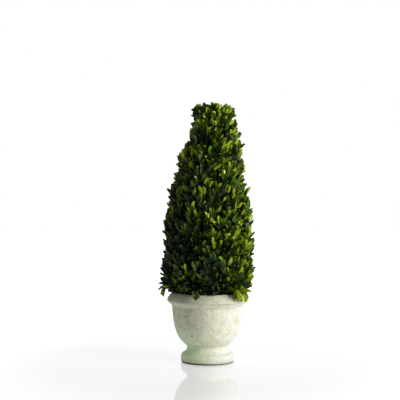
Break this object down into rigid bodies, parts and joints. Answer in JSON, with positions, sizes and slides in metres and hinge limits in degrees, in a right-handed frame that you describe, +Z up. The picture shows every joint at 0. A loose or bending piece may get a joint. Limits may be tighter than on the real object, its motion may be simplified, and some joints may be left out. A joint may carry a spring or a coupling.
{
  "type": "boxwood cone topiary in a footed urn",
  "caption": "Indoor boxwood topiary clipped to a tall rounded cone with a flat tuft on top, standing in a footed cast cement urn with a rolled rim.",
  "frame": {"origin": "centre of the flat underside of the urn's foot", "axes": "+Z up along the urn's axis, front of the plant towards -Y, +X to the right seen from the front"},
  "size_m": [0.1881, 0.1851, 0.508],
  "materials": {
    "aged_cement": "whitewashed cast cement, mottled ivory and sage green, fine pits, worn edges",
    "planting_mix": "dark crumbly peat and bark mix",
    "bark": "grey-brown bark with fine lengthwise cracks",
    "box_foliage": "small leathery box leaves, glossy dark green above and paler below, with yellow-green young tips"
  },
  "bodies": {
    "root": {"urn": "aged_cement", "planting_mix": "planting_mix", "stem": "bark", "foliage_cone": "box_foliage", "foliage_head": "box_foliage", "sprig_front": "box_foliage", "sprig_front_right": "box_foliage", "sprig_left": "box_foliage"}
  },
  "joints": []
}
